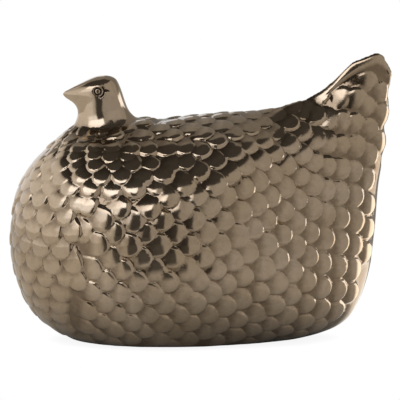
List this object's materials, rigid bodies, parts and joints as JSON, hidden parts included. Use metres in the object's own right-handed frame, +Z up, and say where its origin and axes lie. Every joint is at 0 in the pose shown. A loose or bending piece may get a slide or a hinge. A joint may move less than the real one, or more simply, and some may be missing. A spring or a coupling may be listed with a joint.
{
  "type": "hen figurine",
  "caption": "Hollow glazed ceramic hen sitting on a flat foot, with carved feather scales, a small smooth head and a raised tail.",
  "frame": {"origin": "centre of the bounding box at the height of the flat foot", "axes": "+Z up; the beak points to -X and the tail to +X; the hen is mirror symmetric about the XZ plane"},
  "size_m": [0.3022, 0.1702, 0.2263],
  "materials": {
    "glaze": "gloss"
  },
  "bodies": {
    "root": {"hen": "glaze"}
  },
  "joints": []
}
